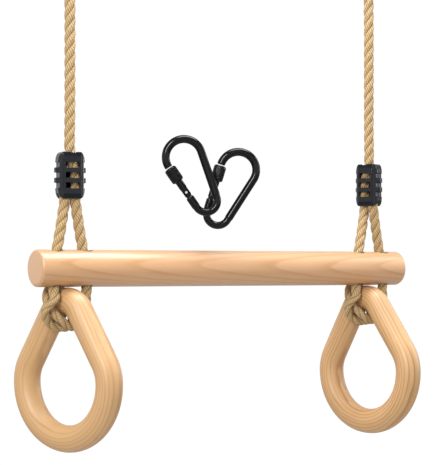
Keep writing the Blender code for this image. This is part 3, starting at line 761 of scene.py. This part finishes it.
def build_clamp(name, side, turn, material):
    """Two moulded shells, with their edges rounded by a fine remesh."""
    place = (Matrix.Translation((side * SIDE_X, 0, BAR_Z + CLAMP_BOTTOM))
             @ Matrix.Rotation(-math.radians(turn), 4, "Z"))
    upright = Matrix.Rotation(math.pi / 2, 4, "X")
    sideways = Matrix.Rotation(math.pi / 2, 4, "Z") @ upright
    halves = (("front", -1, CLAMP_HALF_DEPTH), ("back", 1, CLAMP_RECESS))
    for half, facing, window_depth in halves:
        shell = prism(f"{name}_{half}_moulding", clamp_front_outline(), 2 * CLAMP_HALF_DEPTH,
                      upright)
        shell.data.materials.append(material)
        guides = [box("keep", (60 * MM, 30 * MM, 120 * MM),
                      Matrix.Translation((0, facing * (15 * MM + CLAMP_SEAM / 2), 20 * MM))),
                  prism("plan", clamp_plan_outline(), 60 * MM, Matrix.Identity(4)),
                  prism("sides", clamp_side_outline(), 60 * MM, sideways)]
        combine(shell, guides, "INTERSECT")
        twin = [(ROPE_STRAND + x, y) for x, y in arc((0, 0), CLAMP_CHANNEL_RADIUS, -90, 90, 13)]
        twin += [(-x, y) for x, y in reversed(twin)]
        throat = arc((-side * CLAMP_THROAT_SHIFT, 0), CLAMP_THROAT_RADIUS, 0, 345, 24)
        cutters = [prism("channel", twin, 17 * MM, Matrix.Translation((0, 0, 14.5 * MM))),
                   prism("throat", throat, 10 * MM, Matrix.Translation((0, 0, 38.5 * MM)))]
        for level in range(3):
            z = CLAMP_CAP + CLAMP_NOTCH / 2 + level * (CLAMP_NOTCH + CLAMP_RIB)
            size = (2 * CLAMP_WINDOW_HALF_WIDTH, 2 * window_depth, CLAMP_NOTCH + 0.3 * MM)
            cutters.append(box("window", size,
                               Matrix.Translation((0, facing * CLAMP_HALF_DEPTH, z))))
        combine(shell, cutters, "DIFFERENCE")
        remesh = shell.modifiers.new("fine", "REMESH")
        remesh.mode = "VOXEL"
        remesh.voxel_size = 0.3 * MM
        soften = shell.modifiers.new("soften", "SMOOTH")
        soften.factor = 0.6
        soften.iterations = 6
        apply_modifiers(shell)
        shell.data.shade_smooth()
        shell.matrix_world = place @ upright
        piece(shell, "trapeze", "clamp_plastic", f"{name}_{half}_shell")


# ---- upper fittings ----
def build_fittings(name, side, steel, plastic):
    """The steel ring, the thimble in the rope's eye and the ferrule under it."""
    middle = Vector((side * SIDE_X, 0, PIVOT_Z + HANGER_RADIUS))
    circle = [middle + Vector((x, 0, z)) for x, z in arc((0, 0), HANGER_RADIUS, 0, 357, 120)]
    path, along, _ = spaced(circle, 1.4 * MM, closed=True)
    hanger = sweep(name + "_steel_ring", path, along, lambda turn, index: HANGER_WIRE_RADIUS, 24,
                   steel, closed=True, first=Vector((0, 1, 0)))
    piece(hanger, "root", "steel", name + "_hanging_ring")

    angles = [math.radians(a) for a in range(60, -61, -12)]
    groove = [(16.4 * MM - THIMBLE_GROOVE * math.cos(a), THIMBLE_GROOVE * math.sin(a))
              for a in angles]
    bore, flange, half = THIMBLE_BORE_RADIUS, THIMBLE_FLANGE_RADIUS, THIMBLE_HALF_WIDTH
    rim = [(bore + 0.4 * MM, half), (flange - 0.3 * MM, half), (flange, half - 0.3 * MM),
           (flange, half - 0.9 * MM)]
    profile = rim + groove + [(r, -z) for r, z in reversed(rim)]
    profile += [(bore, 0.4 * MM - half), (bore, half - 0.4 * MM)]
    thimble = lathe(name + "_grooved_thimble", profile, 72, plastic,
                    Matrix.Translation((side * SIDE_X, 0, THIMBLE_Z))
                    @ Matrix.Rotation(math.pi / 2, 4, "Y"))
    piece(thimble, "trapeze", "clamp_plastic", name + "_thimble")
    build_ferrule(name, side, steel)


def build_ferrule(name, side, steel):
    """An oval pressed sleeve with rounded rims and two crimp grooves."""
    # height and radius in mm
    levels = [(0.0, 7.3), (0.5, 7.75), (1.0, 7.8), (4.6, 7.8), (5.2, 7.35), (6.2, 7.35),
              (6.8, 7.8), (11.2, 7.8), (11.8, 7.35), (12.8, 7.35), (13.4, 7.8), (17.0, 7.8),
              (17.5, 7.75), (18.0, 7.3)]
    rings = [(FERRULE_BOTTOM + z * MM, r * MM) for z, r in levels]
    rings += [(FERRULE_TOP, 5.9 * MM), (FERRULE_TOP - 0.4 * MM, 5.6 * MM),
              (FERRULE_BOTTOM + 0.4 * MM, 5.6 * MM), (FERRULE_BOTTOM, 5.9 * MM)]
    bm = bmesh.new()
    loops = []
    for z, radius in rings:
        right = [(x, y + ROPE_STRAND) for x, y in arc((0, 0), radius, 0, 180, 20)]
        oval = right + [(-x, -y) for x, y in right]
        loops.append([bm.verts.new((side * SIDE_X + x, y, z)) for x, y in oval])
    for a, b in zip(loops, loops[1:] + loops[:1]):
        for j in range(len(a)):
            k = (j + 1) % len(a)
            bm.faces.new((a[j], a[k], b[k], b[j]))
    bmesh.ops.recalc_face_normals(bm, faces=bm.faces)
    ferrule = mesh_object(name + "_pressed_ferrule", bm, steel)
    ferrule.data.set_sharp_from_angle(angle=math.radians(50))
    piece(ferrule, "trapeze", "steel", name + "_ferrule")


# ---- carabiners ----
def snap_half_angle():
    return math.asin((SNAP_WIDE_RADIUS - SNAP_NARROW_RADIUS) / SNAP_ARC_SPACING)


def gate_point(distance):
    """A point of the gate's line, measured down from where it leaves the wide bend."""
    tilt = snap_half_angle()
    return Vector((-SNAP_WIDE_RADIUS * math.cos(tilt) + distance * math.sin(tilt), 0,
                   -SNAP_WIDE_RADIUS * math.sin(tilt) - distance * math.cos(tilt)))


def gate_frame(place, distance):
    """A frame on the gate's line with its Z up the gate and its Y across the carabiner."""
    return (place @ Matrix.Translation(gate_point(distance))
            @ Matrix.Rotation(-snap_half_angle(), 4, "Y"))


def build_carabiner(name, centre, tilt_degrees, black, steel):
    place = (Matrix.Translation(centre) @ Matrix.Rotation(-math.radians(SNAP_TURN), 4, "Z")
             @ Matrix.Rotation(math.radians(tilt_degrees), 4, "Y"))
    tilt = math.degrees(snap_half_angle())
    wide = arc((0, 0), SNAP_WIDE_RADIUS, 180 + tilt, -tilt, WIDE_STEPS)
    narrow = arc((0, -SNAP_ARC_SPACING), SNAP_NARROW_RADIUS, -tilt, -180 + tilt, 40)
    line = [Vector((x, 0, z)) for x, z in wide + narrow] + [gate_point(SNAP_HOOK_S)]
    path, along, reach = spaced([place @ p for p in line], 0.7 * MM)
    shoulder = reach[WIDE_STEPS] - 2.5 * MM
    hook = reach[-2] + 0.5 * MM

    def radius_at(turn, index):
        """Round rod with eased ends and a slight shoulder where the spine meets the hook."""
        here = along[index]
        radius = SNAP_ROD_RADIUS
        if here > shoulder:
            radius -= SHOULDER_STEP * min(1, (here - shoulder) / SHOULDER_EASE)
        if here > hook:
            radius += SHOULDER_STEP * min(1, (here - hook) / SHOULDER_EASE)
        ease = min(here, along[-1] - here) / ROD_END_EASE
        return radius - 0.5 * MM * max(0, 1 - ease) ** 2

    body = sweep(name + "_carabiner_rod", path, along, radius_at, 32, black,
                 first=place.to_3x3() @ Vector((0, 1, 0)))
    tongue_length = SNAP_HOOK_S - SNAP_PIVOT_S + 5.2 * MM
    tongue_frame = gate_frame(place, SNAP_HOOK_S + 1.5 * MM - tongue_length / 2)
    tongue = box("tongue", (5.6 * MM, 2 * TONGUE_HALF, tongue_length), tongue_frame)
    combine(body, [tongue], "UNION")
    body.data.shade_smooth()
    body.data.set_sharp_from_angle(angle=math.radians(50))
    piece(body, "root", "black_metal", name + "_carabiner_body")

    top, bottom = SNAP_NOSE_GAP, SNAP_HOOK_S - 1.6 * MM
    half = (bottom - top) / 2
    rim = [(GATE_RADIUS - 0.4 * MM, half), (GATE_RADIUS, half - 0.4 * MM)]
    profile = [(0, half)] + rim + [(r, -z) for r, z in reversed(rim)] + [(0, -half)]
    gate = lathe(name + "_carabiner_gate_arm", profile, 40, black, gate_frame(place, top + half))
    bake_place(gate)
    slot_top = SNAP_PIVOT_S - 4.8 * MM
    slot = box("slot", (12 * MM, 2 * TONGUE_HALF + 0.6 * MM, 20 * MM),
               gate_frame(place, slot_top + 10 * MM))
    combine(gate, [slot], "DIFFERENCE")
    gate.data.shade_smooth()
    gate.data.set_sharp_from_angle(angle=math.radians(35))
    piece(gate, name + "_gate", "black_metal", name + "_carabiner_gate")

    half = SLEEVE_LENGTH / 2
    outer = [(SLEEVE_RADIUS - 1.5 * MM, half), (SLEEVE_RADIUS - 1.2 * MM, half - 0.1 * MM),
             (SLEEVE_RADIUS - 0.25 * MM, half - 1.0 * MM), (SLEEVE_RADIUS, half - 1.9 * MM),
             (SLEEVE_RADIUS, half - 2.4 * MM)]
    bore = SNAP_ROD_RADIUS + 0.35 * MM
    profile = [(bore, half)] + outer + [(r, -z) for r, z in reversed(outer)] + [(bore, -half)]
    sleeve = lathe(name + "_carabiner_nut", profile, 96, black,
                   gate_frame(place, SNAP_NOSE_GAP + half), flutes=NUT_FLUTES, depth=0.18 * MM)
    piece(sleeve, name + "_sleeve", "black_metal", name + "_carabiner_sleeve")

    # these keep their CAD shapes
    for part in ("rivet", "plunger", "spring"):
        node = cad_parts[f"{name}_carabiner_{part}"]
        for index in range(len(node.material_slots)):
            node.material_slots[index].material = steel


def main():
    make_camera()
    rope = rope_material()
    for name, (side, ring_turn, _, clamp_turn) in SIDES.items():
        build_rope(name + "_rope_laid", side, ring_turn, clamp_turn, rope)
    make_studio()

    plastic = plastic_material()
    steel = steel_material()
    black = coated_metal_material()
    build_bar(bar_material())
    grains = {"left": (0.0, 0.45), "right": (0.37, 1.0)}      # seed and contrast
    for name, (side, ring_turn, ring_lean, clamp_turn) in SIDES.items():
        build_ring(name + "_ring", side, ring_turn, ring_lean,
                   ring_material(name + "_ring_pine", *grains[name]))
        build_clamp(name + "_clamp", side, clamp_turn, plastic)
        build_fittings(name, side, steel, plastic)
    for name, (centre, tilt) in SNAPS.items():
        build_carabiner(name, centre, tilt, black, steel)


main()
